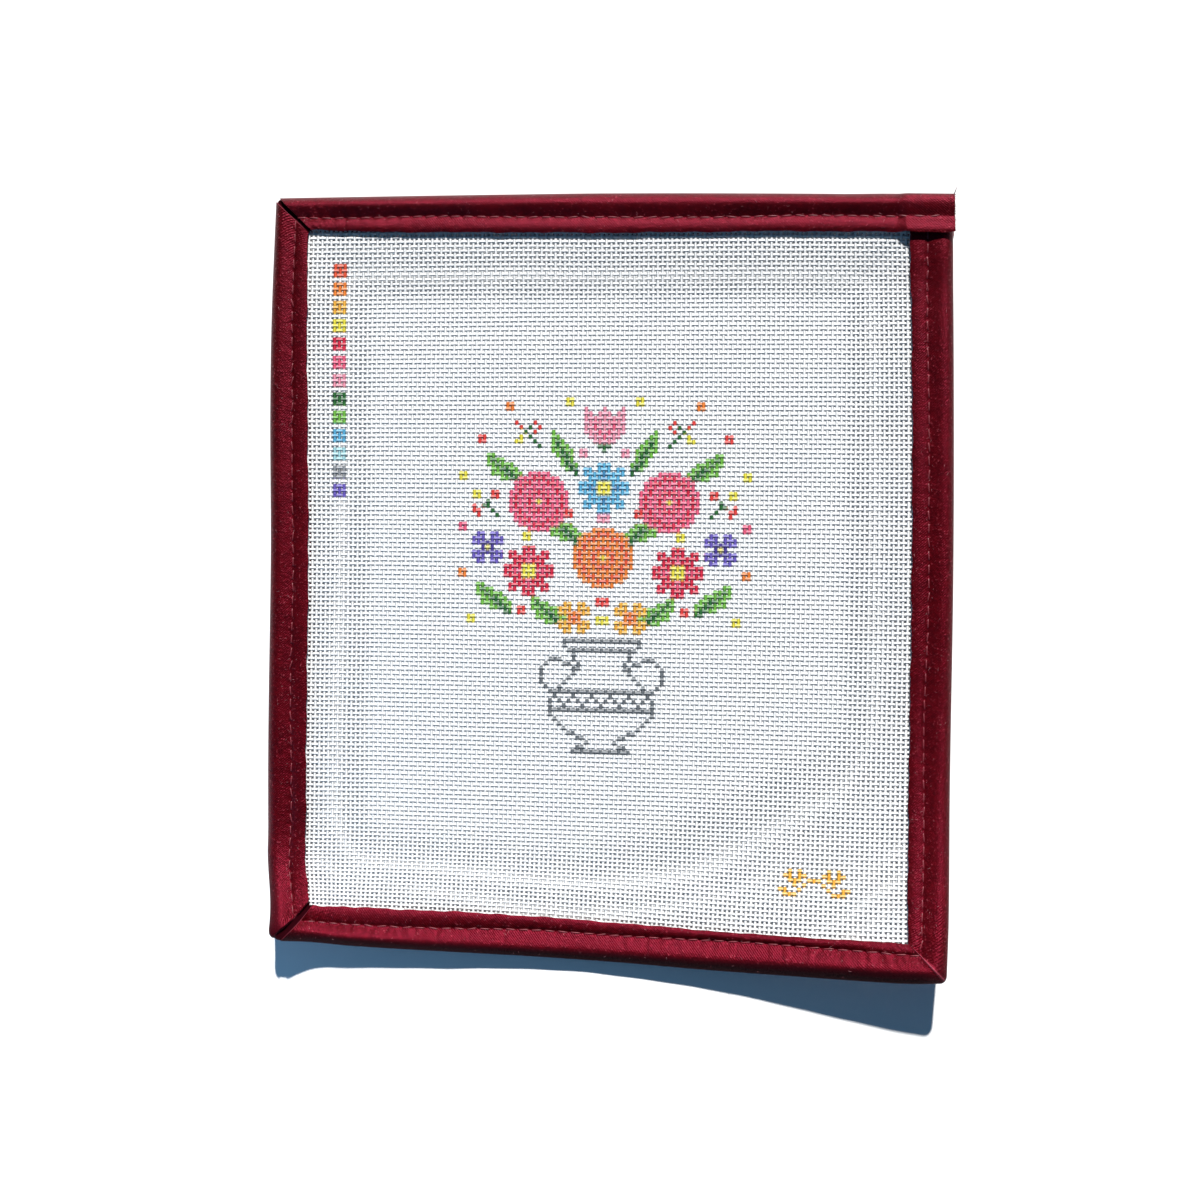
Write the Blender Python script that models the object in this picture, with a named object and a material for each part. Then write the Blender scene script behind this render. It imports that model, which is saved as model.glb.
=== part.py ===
"""Needlepoint canvas panel: stiff mono canvas, its cut edge bound all round with one strip of folded tape.

The panel lies on its back, +Y towards its top edge, +Z up. It is flat but for its bottom edge, which curls
up, most of all at the right corner. Points are first placed on the flat cloth, as s across and t up from
its middle, and lie() then takes them to where the cloth lies. Table sizes are in millimetres.
"""

from collections import namedtuple
from math import copysign

import bmesh
import bpy
from mathutils import Vector

MM = 0.001

# The panel as cut and sewn, before it curls.
HALF_WIDTH = 102.7  # middle of the panel to the outer fold of the side tapes
HALF_HEIGHT = 116.8
TAPE_WIDTH = 11.4  # one face of the folded tape
CANVAS_THICK = 1.0
TAPE_THICK = 1.0
GAP = 0.3
CANVAS_INSET = 1.7  # the canvas stops this far short of the tape's outer fold
CANVAS_SNIP = 1.4  # taken off its corners each way, so that the tape can turn
LAYER = TAPE_THICK + GAP
BASE = TAPE_THICK + GAP + CANVAS_THICK / 2  # the canvas's middle, over the back of the tape

# How the sewn panel lies.
SIDE_BOW = 1.4  # the side edges belly out
TOP_BOW = 0.4
SAG = BASE - CANVAS_THICK / 2  # the unbound canvas drops until it touches the surface
SAG_REACH = 14.0  # from the tape's inner edge
SAG_FADES = 3.0  # no sag where the cloth is lifted this high
CORNER_PULL = 3.0  # the bottom left corner is drawn in by the curl
CORNER_PULL_REACH = 32.0

# The curl of the bottom edge: across is the place along it, lift how high it stands, reach how far up the
# cloth the curl begins, and drawn how far the curl and the sewing draw the edge up.
Curl = namedtuple("Curl", "across lift reach drawn")
BOTTOM_EDGE = (
    Curl(-102.7, 11.0, 40, 5.8),
    Curl(-91.0, 6.2, 44, 4.6),
    Curl(-77.0, 4.2, 46, 3.7),
    Curl(-48.0, 2.4, 46, 2.8),
    Curl(-18.0, 0.8, 46, 1.9),
    Curl(8.0, 2.2, 50, 1.3),
    Curl(36.0, 4.4, 62, 0.6),
    Curl(63.0, 8.8, 76, 1.2),
    Curl(89.0, 13.4, 88, 2.6),
    Curl(102.7, 15.0, 92, 4.0),
)

# The tape's corners: across and up are signs, side and end the width of the side tape and of the end tape
# there, slit the width of the open gap between the two folds of the mitre, and rounding the outer radius.
Corner = namedtuple("Corner", "across up side end slit rounding")
TOP_RIGHT = Corner(1, 1, 11.4, 11.3, 0, 0)
BOTTOM_RIGHT = Corner(1, -1, 10.9, 10.4, 0, 2.0)
BOTTOM_LEFT = Corner(-1, -1, 11.8, 11.0, 0.9, 3.4)
TOP_LEFT = Corner(-1, 1, 10.9, 9.8, 1.1, 1.2)

# The tape's middle line across its folded width, from the free edge on the face, round the outer fold, to
# the free edge on the back: inset from the outer fold, height over the canvas's middle, and how far the
# face puffs up beside the sewn line.
Fold = namedtuple("Fold", "inset height puff")
TAPE_SECTION = (
    Fold(11.4, LAYER, 0.45),
    Fold(9.4, LAYER, 0.45),
    Fold(7.0, LAYER, 0.05),
    Fold(5.2, LAYER, 0.45),
    Fold(3.2, LAYER, 0.60),
    Fold(1.5, 1.25, 0.35),
    Fold(0.6, 0.75, 0.10),
    Fold(0.5, -0.50, 0),
    Fold(1.3, -LAYER, 0),
    Fold(6.0, -LAYER, 0),
    Fold(11.4, -LAYER, 0),
)
SLIT_CELLS = 5  # a mitre is open over this many steps of the section, all of them on the face

# The lapped end at the top right corner.
END_OVERHANG = 0.4  # past the outer fold of the right tape
LAP_RAMP = 4.0  # the end tape steps up over this length before the right tape
LAP_RISE_REACH = 18.0  # the cloth round the lap rises by its extra layer
PRESSED_LENGTH = 5.0  # the right tape puffs again this far below the lap

CORNER_ZONE = 24.0
ZONE_STEPS = 4
SIDE_STEPS = 13
CANVAS_INSETS = (CANVAS_INSET, 4.2, 7.0, 9.2, 11.4, 15.0, 19.5, 25.4)
CANVAS_STEPS = 12


def ramp(x):
    """0 to 1 with level ends."""
    x = min(max(x, 0.0), 1.0)
    return x * x * (3 - 2 * x)


def curl_at(across):
    """The row of BOTTOM_EDGE at a place between its rows, on a smooth curve through them."""
    rows = BOTTOM_EDGE
    across = min(max(across, rows[0].across), rows[-1].across)
    k = max(i for i in range(len(rows) - 1) if rows[i].across <= across)
    a, b = rows[k], rows[k + 1]
    before, after = rows[max(k - 1, 0)], rows[min(k + 2, len(rows) - 1)]
    span = b.across - a.across
    x = (across - a.across) / span
    values = []
    for column in ("lift", "reach", "drawn"):
        start, end = getattr(a, column), getattr(b, column)
        slope_in = (end - getattr(before, column)) / (b.across - before.across) * span
        slope_out = (getattr(after, column) - start) / (after.across - a.across) * span
        values.append(
            (1 + 2 * x) * (1 - x) ** 2 * start
            + x * (1 - x) ** 2 * slope_in
            + x * x * (3 - 2 * x) * end
            + x * x * (x - 1) * slope_out
        )
    return Curl(across, *values)


def lift_at(s, t):
    """How high the cloth stands over its flat lie, and how far it is drawn up there."""
    curl = curl_at(s)
    along = max(0.0, (curl.reach - HALF_HEIGHT - t) / curl.reach)
    beside_lap = HALF_WIDTH - TAPE_WIDTH - LAP_RAMP - LAP_RISE_REACH
    below_lap = HALF_HEIGHT - TAPE_WIDTH - LAP_RISE_REACH
    lap_rise = LAYER * ramp((s - beside_lap) / LAP_RISE_REACH) * ramp((t - below_lap) / LAP_RISE_REACH)
    return curl.lift * along**2 + lap_rise, curl.drawn * along**2


def lie(s, t):
    """Where a point of the flat cloth lies, on the canvas's middle surface."""
    lift, drawn = lift_at(s, t)
    left_corner = ramp((CORNER_PULL_REACH - HALF_WIDTH - s) / CORNER_PULL_REACH)
    bottom_corner = ramp((CORNER_PULL_REACH - HALF_HEIGHT - t) / CORNER_PULL_REACH)
    x = s + SIDE_BOW * s / HALF_WIDTH * (1 - (t / HALF_HEIGHT) ** 2)
    x += CORNER_PULL * left_corner * bottom_corner
    y = t + drawn + TOP_BOW * max(0.0, t / HALF_HEIGHT) * (1 - (s / HALF_WIDTH) ** 2)
    least_drawn = min(curl.drawn for curl in BOTTOM_EDGE)
    return Vector((x, y - (TOP_BOW + least_drawn) / 2, BASE + lift)) * MM


def on_cloth(s, t, height):
    """A point at a height square to the lying cloth, over its middle surface."""
    step = 0.5
    across = lie(s + step, t) - lie(s - step, t)
    up = lie(s, t + step) - lie(s, t - step)
    return lie(s, t) + across.cross(up).normalized() * height * MM


def sag_at(s, t):
    """How far the canvas hangs below the tape's plane, inside the bound edge."""
    inside = min(HALF_WIDTH - abs(s), HALF_HEIGHT - abs(t)) - TAPE_WIDTH
    lift, _ = lift_at(s, t)
    return SAG * ramp(inside / SAG_REACH) * (1 - ramp(lift / SAG_FADES))


def solid_from_sheet(name, corners, faces, thickness, colour, roughness):
    """An object made of a sheet given thickness on both sides of its middle surface."""
    mesh = bpy.data.meshes.new(name)
    mesh.from_pydata(corners, [], faces)
    shape = bmesh.new()
    shape.from_mesh(mesh)
    loose = [corner for corner in shape.verts if not corner.link_faces]
    bmesh.ops.delete(shape, geom=loose, context="VERTS")
    bmesh.ops.recalc_face_normals(shape, faces=shape.faces)
    shape.to_mesh(mesh)
    shape.free()
    mesh.shade_smooth()
    piece = bpy.data.objects.new(name, mesh)
    bpy.context.scene.collection.objects.link(piece)
    thicken = piece.modifiers.new("thickness", "SOLIDIFY")
    thicken.thickness = thickness * MM
    thicken.offset = 0
    thicken.use_even_offset = True
    finish = bpy.data.materials.new(name)
    finish.use_nodes = True
    shader = finish.node_tree.nodes["Principled BSDF"]
    shader.inputs["Base Color"].default_value = (*colour, 1)
    shader.inputs["Roughness"].default_value = roughness
    shader.inputs["Metallic"].default_value = 0
    mesh.materials.append(finish)
    return piece


def grid_lines(half_size):
    """The places of the canvas's grid lines: close together under the tape, even between."""
    edge = [half_size - inset for inset in CANVAS_INSETS]
    inner = edge[-1]
    middle = [-inner + 2 * inner * k / CANVAS_STEPS for k in range(1, CANVAS_STEPS)]
    return [-place for place in edge] + middle + edge[::-1]


def canvas_point(s, t):
    """A point of the canvas's middle surface, with the sheet's own corners snipped."""
    if abs(s) == HALF_WIDTH - CANVAS_INSET and abs(t) == HALF_HEIGHT - CANVAS_INSET:
        s -= copysign(CANVAS_SNIP, s)
        t -= copysign(CANVAS_SNIP, t)
    return on_cloth(s, t, -sag_at(s, t))


def canvas():
    columns, rows = grid_lines(HALF_WIDTH), grid_lines(HALF_HEIGHT)
    corners = [canvas_point(s, t) for t in rows for s in columns]
    wide = len(columns)
    faces = [
        (k, k + 1, k + 1 + wide, k + wide)
        for row in range(len(rows) - 1)
        for k in range(row * wide, row * wide + wide - 1)
    ]
    return solid_from_sheet("canvas", corners, faces, CANVAS_THICK, (0.84, 0.84, 0.82), 0.8)


# A station is one section of the tape: the flat places of its outer fold and of its free edges, how far it
# is stepped up for the lap, how much it puffs, and whether its face is slit open up to the next station.
Station = namedtuple("Station", "outer inner lap puff slit")


def tape_width(start, end, share):
    """The tape's width along a side: each corner's own, easing to the full width between."""
    corner_width = start + (end - start) * share
    return corner_width + (TAPE_WIDTH - corner_width) * (1 - (2 * share - 1) ** 2)


def side_stations(first, last):
    """The stations along one side, between the zones of its two corners."""
    upright = first.across == last.across
    half = HALF_HEIGHT if upright else HALF_WIDTH
    start = first.up if upright else first.across
    widths = (first.side, last.side) if upright else (first.end, last.end)
    stations = []
    for k in range(SIDE_STEPS + 1):
        place = (half - CORNER_ZONE) * (1 - 2 * k / SIDE_STEPS)
        width = tape_width(*widths, (1 - place / half) / 2)
        if upright:
            outer = Vector((first.across * HALF_WIDTH, start * place))
            inward = Vector((-first.across, 0))
        else:
            outer = Vector((start * place, first.up * HALF_HEIGHT))
            inward = Vector((0, -first.up))
        stations.append(Station(outer, outer + inward * width, 0, 1, False))
    return stations


def mitre(corner, before, after):
    """The stations round a mitred corner, from the side's last station to the next side's first."""
    sharp = Vector((corner.across * HALF_WIDTH, corner.up * HALF_HEIGHT))
    inner = sharp - Vector((corner.across * corner.side, corner.up * corner.end))
    back = (before.outer - sharp).normalized()
    on = (after.outer - sharp).normalized()
    round_inset = corner.rounding * (1 - 0.5**0.5)
    middle = Station(sharp + (back + on) * round_inset, inner, 0, 1, corner.slit > 0)
    ends = []
    for direction in (back, on):
        outer = sharp + direction * corner.rounding
        ends.append(Station(outer, inner + direction * corner.slit / 2, 0, 1, False))
    if not corner.slit:
        ends = [middle, middle]
    entry, leave = ends
    steps = [k / ZONE_STEPS for k in range(1, ZONE_STEPS)]
    zone_in = [between(before, entry, share) for share in steps]
    zone_out = [between(leave, after, share) for share in steps]
    if not corner.slit:
        return [*zone_in, middle, *zone_out]
    return [*zone_in, entry._replace(slit=True), middle, leave, *zone_out]


def between(one, other, share):
    outer = one.outer.lerp(other.outer, share)
    inner = one.inner.lerp(other.inner, share)
    lap = one.lap + (other.lap - one.lap) * share
    puff = one.puff + (other.puff - one.puff) * share
    return Station(outer, inner, lap, puff, False)


def first_end(below):
    """The strip's beginning on the right side, pressed flat where the other end laps over it."""
    places = (
        (HALF_HEIGHT - CANVAS_INSET, 0),
        (HALF_HEIGHT - TAPE_WIDTH / 2, 0),
        (HALF_HEIGHT - TAPE_WIDTH - 1, 0),
        (HALF_HEIGHT - TAPE_WIDTH - PRESSED_LENGTH, 1),
    )
    stations = []
    for place, puff in places:
        outer = Vector((HALF_WIDTH, place))
        inner = Vector((HALF_WIDTH - TOP_RIGHT.side, place))
        stations.append(Station(outer, inner, 0, puff, False))
    return stations + [between(stations[-1], below, 0.5)]


def last_end(before):
    """The strip's square cut end on the top side, stepped up and lapped over its beginning."""
    step_up = HALF_WIDTH - TOP_RIGHT.side - LAP_RAMP
    places = (
        (step_up, 0),
        (step_up + LAP_RAMP * 0.85, 1),
        (HALF_WIDTH - TAPE_WIDTH / 2, 1),
        (HALF_WIDTH + END_OVERHANG, 1),
    )
    stations = []
    for place, lap in places:
        outer = Vector((place, HALF_HEIGHT))
        inner = Vector((place, HALF_HEIGHT - TOP_RIGHT.end))
        stations.append(Station(outer, inner, lap, 1 - lap, False))
    return [between(before, stations[0], 0.5)] + stations


def binding_tape():
    right = side_stations(TOP_RIGHT, BOTTOM_RIGHT)
    bottom = side_stations(BOTTOM_RIGHT, BOTTOM_LEFT)
    left = side_stations(BOTTOM_LEFT, TOP_LEFT)
    top = side_stations(TOP_LEFT, TOP_RIGHT)
    stations = first_end(right[0]) + right
    for corner, before, after in (
        (BOTTOM_RIGHT, right, bottom),
        (BOTTOM_LEFT, bottom, left),
        (TOP_LEFT, left, top),
    ):
        stations += mitre(corner, before[-1], after[0]) + after
    stations += last_end(top[-1])
    corners = []
    for station in stations:
        for fold in TAPE_SECTION:
            s, t = station.outer.lerp(station.inner, fold.inset / TAPE_WIDTH)
            stepped = station.lap * LAYER * (1 if fold.height > 0 else -1)
            corners.append(on_cloth(s, t, fold.height + fold.puff * station.puff + stepped))
    deep = len(TAPE_SECTION)
    faces = []
    for j, station in enumerate(stations[:-1]):
        for i in range(SLIT_CELLS if station.slit else 0, deep - 1):
            k = j * deep + i
            faces.append((k, k + 1, k + 1 + deep, k + deep))
    return solid_from_sheet("binding_tape", corners, faces, TAPE_THICK, (0.20, 0.008, 0.022), 0.75)


for old in list(bpy.data.objects):
    bpy.data.objects.remove(old, do_unlink=True)

canvas()
binding_tape()
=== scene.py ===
"""Looks of a needlepoint canvas panel: white mono canvas with a painted design, bound with burgundy tape.

The panel lies on its back, +Y towards its top edge. Tables are in millimetres on the flat panel, s across
and t up from its middle, and lie() takes them to where the sewn panel lies.
"""

import math
from collections import namedtuple

import bpy
import numpy as np
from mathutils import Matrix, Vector


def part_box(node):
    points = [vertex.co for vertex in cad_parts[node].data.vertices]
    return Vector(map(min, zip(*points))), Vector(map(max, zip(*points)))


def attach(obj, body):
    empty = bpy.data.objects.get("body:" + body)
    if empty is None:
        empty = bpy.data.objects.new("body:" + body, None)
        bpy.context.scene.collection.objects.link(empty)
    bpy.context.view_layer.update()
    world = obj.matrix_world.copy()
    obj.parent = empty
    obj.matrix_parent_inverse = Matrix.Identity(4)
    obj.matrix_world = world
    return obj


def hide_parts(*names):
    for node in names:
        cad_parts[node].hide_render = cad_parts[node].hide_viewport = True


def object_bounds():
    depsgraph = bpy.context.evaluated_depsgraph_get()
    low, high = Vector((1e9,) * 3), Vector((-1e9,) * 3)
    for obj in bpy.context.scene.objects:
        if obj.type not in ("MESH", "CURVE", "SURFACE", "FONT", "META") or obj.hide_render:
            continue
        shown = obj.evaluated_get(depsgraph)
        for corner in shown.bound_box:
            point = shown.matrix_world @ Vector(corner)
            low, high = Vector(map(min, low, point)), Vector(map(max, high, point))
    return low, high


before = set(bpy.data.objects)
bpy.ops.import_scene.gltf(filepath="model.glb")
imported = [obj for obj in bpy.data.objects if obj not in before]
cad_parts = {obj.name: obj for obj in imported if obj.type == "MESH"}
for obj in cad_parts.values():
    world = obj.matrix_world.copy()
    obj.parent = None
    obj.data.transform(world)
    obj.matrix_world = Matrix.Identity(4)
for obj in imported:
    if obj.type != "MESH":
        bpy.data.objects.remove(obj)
cad_low, cad_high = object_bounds()
bpy.ops.object.select_all(action="DESELECT")

# --- Canvas ---------------------------------------------------------------------------------------------
# One rectangle of white mono needlepoint canvas, 18 holes to the inch: hard single cotton threads woven
# over and under and sized stiff. Its cut edges are sewn inside the folded tape, and they curl together.

MM = 0.001
HALF_WIDTH = 102.7  # middle of the panel to the outer fold of the side tapes
HALF_HEIGHT = 116.8
TAPE_WIDTH = 11.4
LAYER = 1.3  # one layer of tape with its gap
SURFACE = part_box("binding_tape")[0].z / MM  # what the panel rests on
BASE = SURFACE + 1.8  # the canvas's middle, over the surface
SIDE_BOW = 1.4  # how far the middle of each side bows out
TOP_BOW = 0.4
SAG_REACH = 22.0  # from the tape's free edge to where the canvas rests on the surface
SAG_FADES = 9.0  # the lift from which the canvas doesn't hang below the tape
SAG_CLEAR = 0.13  # the canvas's middle over the surface where it rests on it
CORNER_PULL = 3.7  # how far the bottom left corner is drawn in
CORNER_PULL_REACH = 32.0
LAP_RAMP = 4.0  # how long the strip's last end takes to step up on to its beginning
LAP_RISE_REACH = 18.0  # how far from the lap the canvas starts to rise to it

# The curl of the bottom edge: the place across it, how high it stands, how far up the cloth the curl
# begins, and how far it is drawn up there.
Curl = namedtuple("Curl", "across lift reach drawn")
BOTTOM_EDGE = (
    Curl(-102.7, 13.4, 40, 6.3),
    Curl(-91.0, 7.4, 44, 4.8),
    Curl(-77.0, 5.4, 46, 3.7),
    Curl(-48.0, 3.7, 46, 2.8),
    Curl(-18.0, 2.0, 46, 1.9),
    Curl(8.0, 2.5, 50, 1.3),
    Curl(36.0, 4.7, 62, 0.6),
    Curl(63.0, 9.1, 76, 1.2),
    Curl(89.0, 13.7, 88, 2.6),
    Curl(102.7, 15.4, 92, 4.0),
)
LEAST_DRAWN = min(row.drawn for row in BOTTOM_EDGE)

# How far each side's outer fold and the free edge of its tape stand outside a true rectangle, at places
# along the side.
Bend = namedtuple("Bend", "place fold free")
LEFT_EDGE = (
    Bend(-116.8, 1.0, 0.3),
    Bend(-60.0, 0.8, -0.3),
    Bend(6.0, 0.1, -0.8),
    Bend(50.0, 0.9, 0.0),
    Bend(80.0, 1.1, 0.7),
    Bend(116.8, 0.6, 0.7),
)
RIGHT_EDGE = (
    Bend(-116.8, 1.2, 1.4),
    Bend(-100.0, 1.5, 0.9),
    Bend(-60.0, 1.05, 0.5),
    Bend(0.0, 0.65, 0.0),
    Bend(60.0, 0.0, -0.7),
    Bend(116.8, -0.55, -1.8),
)
TOP_EDGE = (
    Bend(-102.7, 0.2, 0.0),
    Bend(-30.0, 0.0, -0.4),
    Bend(0.0, -0.1, -0.8),
    Bend(60.0, -0.9, -1.0),
    Bend(102.7, -1.7, -2.0),
)
BOTTOM_FOLD = (
    Bend(-102.7, 0.2, -1.2),
    Bend(-65.0, 0.5, -1.8),
    Bend(-25.0, 0.4, -1.8),
    Bend(10.0, 0.3, -1.1),
    Bend(60.0, 0.1, -0.5),
    Bend(102.7, 1.2, -0.3),
)
BEND_FADES = 34.0  # from the tape's free edge to where the canvas isn't moved by these


def ramp(x):
    """0 to 1 with level ends."""
    x = np.clip(x, 0.0, 1.0)
    return x * x * (3 - 2 * x)


def through(table, at):
    """A table's other columns at places along its first one, on smooth curves through its rows."""
    rows = np.array(table, float)
    place = rows[:, 0]
    at = np.clip(at, place[0], place[-1])
    k = np.clip(np.searchsorted(place, at, side="right") - 1, 0, len(place) - 2)
    before, after = np.maximum(k - 1, 0), np.minimum(k + 2, len(place) - 1)
    span = place[k + 1] - place[k]
    x = ((at - place[k]) / span)[..., None]
    start, end = rows[k, 1:], rows[k + 1, 1:]
    slope_in = (end - rows[before, 1:]) * (span / (place[k + 1] - place[before]))[..., None]
    slope_out = (rows[after, 1:] - start) * (span / (place[after] - place[k]))[..., None]
    values = (1 + 2 * x) * (1 - x) ** 2 * start + x * (1 - x) ** 2 * slope_in
    values += x * x * (3 - 2 * x) * end + x * x * (x - 1) * slope_out
    return np.moveaxis(values, -1, 0)


def lift_at(s, t):
    """How high the cloth stands over its flat lie, and how far it is drawn up there."""
    lift, reach, drawn = through(BOTTOM_EDGE, s)
    along = np.maximum(0.0, (reach - HALF_HEIGHT - t) / reach)
    beside_lap = HALF_WIDTH - TAPE_WIDTH - LAP_RAMP - LAP_RISE_REACH
    below_lap = HALF_HEIGHT - TAPE_WIDTH - LAP_RISE_REACH
    lap_rise = LAYER * ramp((s - beside_lap) / LAP_RISE_REACH) * ramp((t - below_lap) / LAP_RISE_REACH)
    return lift * along**2 + lap_rise, drawn * along**2


def bent(edge, place, inset):
    """How far a side moves the cloth outwards, at an inset from its outer fold."""
    painted_shade_mask, free = through(edge, place)
    moved = painted_shade_mask + (free - painted_shade_mask) * np.clip(inset / TAPE_WIDTH, 0, 1)
    return moved * (1 - ramp((inset - TAPE_WIDTH) / BEND_FADES))


def lie(s, t):
    """Where points of the flat cloth lie, on the canvas's middle surface, in millimetres."""
    lift, drawn = lift_at(s, t)
    left_corner = ramp((CORNER_PULL_REACH - HALF_WIDTH - s) / CORNER_PULL_REACH)
    bottom_corner = ramp((CORNER_PULL_REACH - HALF_HEIGHT - t) / CORNER_PULL_REACH)
    x = s + SIDE_BOW * s / HALF_WIDTH * (1 - (t / HALF_HEIGHT) ** 2)
    x = x + CORNER_PULL * left_corner * bottom_corner
    x = x + bent(RIGHT_EDGE, t, HALF_WIDTH - s) - bent(LEFT_EDGE, t, HALF_WIDTH + s)
    y = t + drawn + TOP_BOW * np.maximum(0.0, t / HALF_HEIGHT) * (1 - (s / HALF_WIDTH) ** 2)
    y = y + bent(TOP_EDGE, s, HALF_HEIGHT - t) - bent(BOTTOM_FOLD, s, HALF_HEIGHT + t)
    return np.stack([x, y - (TOP_BOW + LEAST_DRAWN) / 2, BASE + lift], axis=-1)


def on_cloth(s, t, height):
    """Points at a height square to the lying cloth, over its middle surface, in metres."""
    s, t, height = np.broadcast_arrays(np.asarray(s, float), t, height)
    step = 0.5
    square = np.cross(lie(s + step, t) - lie(s - step, t), lie(s, t + step) - lie(s, t - step))
    square /= np.linalg.norm(square, axis=-1, keepdims=True)
    return (lie(s, t) + square * height[..., None]) * MM


def sag_at(s, t):
    """How far the canvas hangs below the tape's plane, inside the bound edge."""
    inside = np.minimum(HALF_WIDTH - np.abs(s), HALF_HEIGHT - np.abs(t)) - TAPE_WIDTH
    lift, _ = lift_at(s, t)
    return (BASE - SURFACE - SAG_CLEAR) * ramp(inside / SAG_REACH) * (1 - ramp(lift / SAG_FADES))


PITCH = 25.4 / 18
WARP_SIDE, WEFT_SIDE = 70, 80  # threads on each side of the middle one
THREAD_WIDTH = 0.98
THREAD_HEIGHT = 0.16
WEAVE_RISE = 0.036
THREAD_SIDES = 4
WIDTH_UNEVEN = 0.03  # a share of the width
PLACE_UNEVEN = 0.03
PAINT_SWELLS = 0.12  # how much wider paint makes a thread, as a share
PAINT_TOP_HIGHLIGHT = 0.20  # painted highlight: how far the tops of the cross threads are lightened towards white
PAINT_SIDE_SHADE = 0.62  # painted shade: how dark the paint is down a thread's sides, as a share of its tone on top

# The painted design, on the crossings of the threads: one letter a stitch, rows from the top. In a flower's
# chart m is its main colour, s its shade and h its heart, which the placing table names.
ROSE = (
    "....mmmmm....",
    "..mmmsssmmm..",
    ".mmssmmmssmm.",
    ".msmmmmmmmsm.",
    "mmsmmsssmmsmm",
    "msmmsmmmsmmsm",
    "msmmsmhmsmmsm",
    "msmmsmmmsmmsm",
    "mmsmmsssmmsmm",
    ".msmmmmmmmsm.",
    ".mmssmmmssmm.",
    "..mmmsssmmm..",
    "....mmmmm....",
)
DAISY = (
    "....mmm....",
    ".mm.mmm.mm.",
    ".mmmmsmmmm.",
    "..mmmsmmm..",
    "mmmmhhhmmmm",
    "mmsshhhssmm",
    "mmmmhhhmmmm",
    "..mmmsmmm..",
    ".mmmmsmmmm.",
    ".mm.mmm.mm.",
    "....mmm....",
)
TULIP = (
    "m...m...m",
    "mm.mmm.mm",
    "mmmmmmmmm",
    "mmsmmmsmm",
    "mmsmmmsmm",
    "mmmsmsmmm",
    ".mmmsmmm.",
    "..mmmmm..",
    "...ggg...",
    "....g....",
)
BUD = (
    ".mm.mm.",
    "mmm.mmm",
    "mmsssmm",
    "..shs..",
    "mmsssmm",
    "mmm.mmm",
    ".mm.mm.",
)
LEAF = (
    "......ll",
    "....llgl",
    "..lllgll",
    ".llggll.",
    "llgglll.",
    "lggll...",
    "gg......",
)
LONG_LEAF = (
    ".....l.",
    "....ll.",
    "...lgl.",
    "..llgl.",
    ".llgll.",
    ".lggl..",
    ".lgl...",
    "lggl...",
    "ggl....",
    "g......",
)
BERRIES = (
    "dd..yy",
    "dd..yy",
    "..g...",
    "..gg.d",
    ".g..dd",
    "g...d.",
)
SPRAY = (
    "..d...d",
    ".d.g.d.",
    "..d.g..",
    "...g.y.",
    "..g..yy",
    ".g.....",
)
URN = (  # the right half, its first column the middle one
    "kkkkkkkkk......",
    "........k......",
    "kkkkkkkk.......",
    "......k........",
    "......k..kkk...",
    ".....k.kk...k..",
    ".....kk......k.",
    "......k......k.",
    ".......k.....k.",
    "........k....k.",
    ".........k..k..",
    "kkkkkkkkkkkk...",
    "..k...k...k....",
    ".k.k.k.k.k.k...",
    "k...k...k..k...",
    "kkkkkkkkkkkk...",
    "...........k...",
    "..........k....",
    ".........k.....",
    "........k......",
    "......kk.......",
    "....kk.........",
    "...k...........",
    "....kk.........",
    "kkkkkkk........",
)
DOT = (
    "mm",
    "mm",
)
SPRIG = (
    "...a.a.....a.a..",
    "..aa.aa...aa.aa.",
    "...aaa.aaa.aaa..",
    "....a.a...a.a...",
    ".aa..a.....a..aa",
    "..aaa.......aaa.",
)

# across and up are the stitches from the canvas's middle to the chart's own. Where both is set it comes
# twice, once on each side of the middle, mirrored.
Placed = namedtuple("Placed", "chart across up main shade heart both")
DESIGN = (
    Placed(LONG_LEAF, 9, 27, "g", "g", "g", True),
    Placed(LEAF, 22, 24, "g", "g", "g", True),
    Placed(LEAF, 9, 11, "g", "g", "g", True),
    Placed(LEAF, 24, -4, "g", "g", "g", True),
    Placed(LEAF, 12, -7, "g", "g", "g", True),
    Placed(SPRAY, 16, 31, "g", "g", "g", True),
    Placed(BERRIES, 26, 16, "g", "g", "g", True),
    Placed(TULIP, 0, 32, "p", "r", "y", False),
    Placed(ROSE, 14, 17, "r", "c", "y", True),
    Placed(DAISY, 0, 20, "b", "t", "y", False),
    Placed(BUD, 25, 7, "v", "n", "y", True),
    Placed(DAISY, 16, 2, "c", "r", "y", True),
    Placed(ROSE, 0, 5, "o", "e", "y", False),
    Placed(BUD, 6, -8, "a", "o", "e", True),
    Placed(URN, 0, -25, "k", "k", "k", True),
    Placed(SPRIG, 46, -64, "a", "a", "a", False),
    Placed(DOT, 8, 38, "y", "y", "y", True),
    Placed(DOT, 21, 37, "o", "o", "o", True),
    Placed(DOT, 27, 30, "d", "d", "d", True),
    Placed(DOT, 31, 22, "y", "y", "y", True),
    Placed(DOT, 31, 11, "r", "r", "r", True),
    Placed(DOT, 31, 1, "o", "o", "o", True),
    Placed(DOT, 8, 14, "d", "d", "d", True),
    Placed(DOT, 5, 27, "p", "p", "p", True),
    Placed(DOT, 18, -7, "d", "d", "d", True),
    Placed(DOT, 29, -9, "y", "y", "y", True),
    Placed(DOT, 17, 9, "y", "y", "y", True),
    Placed(DOT, 1, -5, "d", "d", "d", True),
    Placed(DOT, 1, -9, "y", "y", "y", True),
    Placed(DOT, 1, 13, "p", "p", "p", True),
)

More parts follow.
